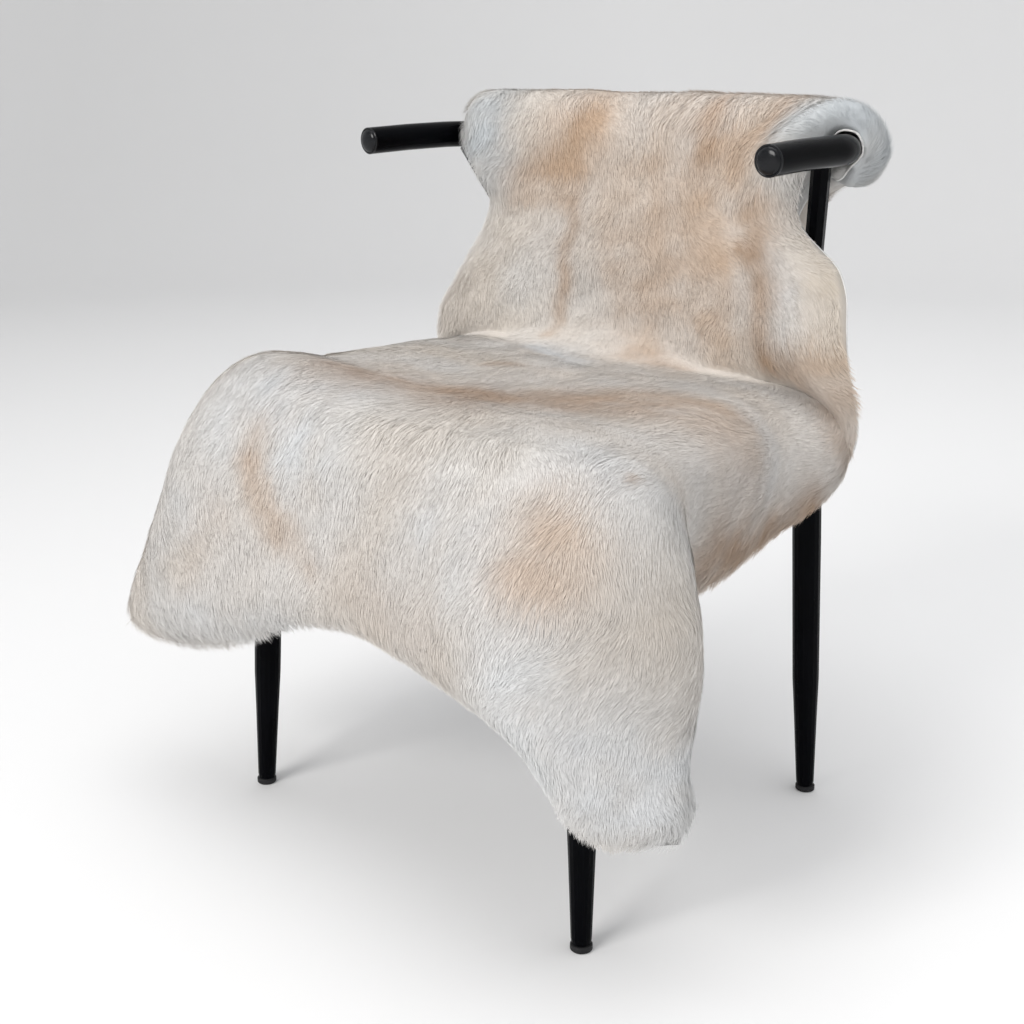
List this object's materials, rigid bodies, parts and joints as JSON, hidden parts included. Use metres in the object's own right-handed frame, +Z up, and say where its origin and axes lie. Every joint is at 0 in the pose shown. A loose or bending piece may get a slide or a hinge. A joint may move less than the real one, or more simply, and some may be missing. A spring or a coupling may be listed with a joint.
{
  "type": "sheepskin rug draped over a tubular chair",
  "caption": "Long-wool sheepskin rug draped over the back, seat and front of a black tubular armchair on tapered legs.",
  "frame": {"origin": "on the floor under the middle of the whole object's box", "axes": "+Z up, -Y towards the chair's front, +X towards the side of the lobe that hangs lowest"},
  "size_m": [0.7649, 0.5988, 0.7949],
  "materials": {
    "ivory wool": "long soft pile",
    "black lacquered steel": "satin black",
    "black cap": "satin",
    "black seat": "matt",
    "black glide": "matt"
  },
  "bodies": {
    "root": {"skin": "ivory wool", "horn_tube": "black lacquered steel", "arm_cap_left": "black cap", "arm_cap_right": "black cap", "strut_left": "black lacquered steel", "strut_right": "black lacquered steel", "seat": "black seat", "leg_front_left": "black lacquered steel", "glide_front_left": "black glide", "leg_front_right": "black lacquered steel", "glide_front_right": "black glide", "leg_rear_left": "black lacquered steel", "glide_rear_left": "black glide", "leg_rear_right": "black lacquered steel", "glide_rear_right": "black glide"}
  },
  "joints": []
}
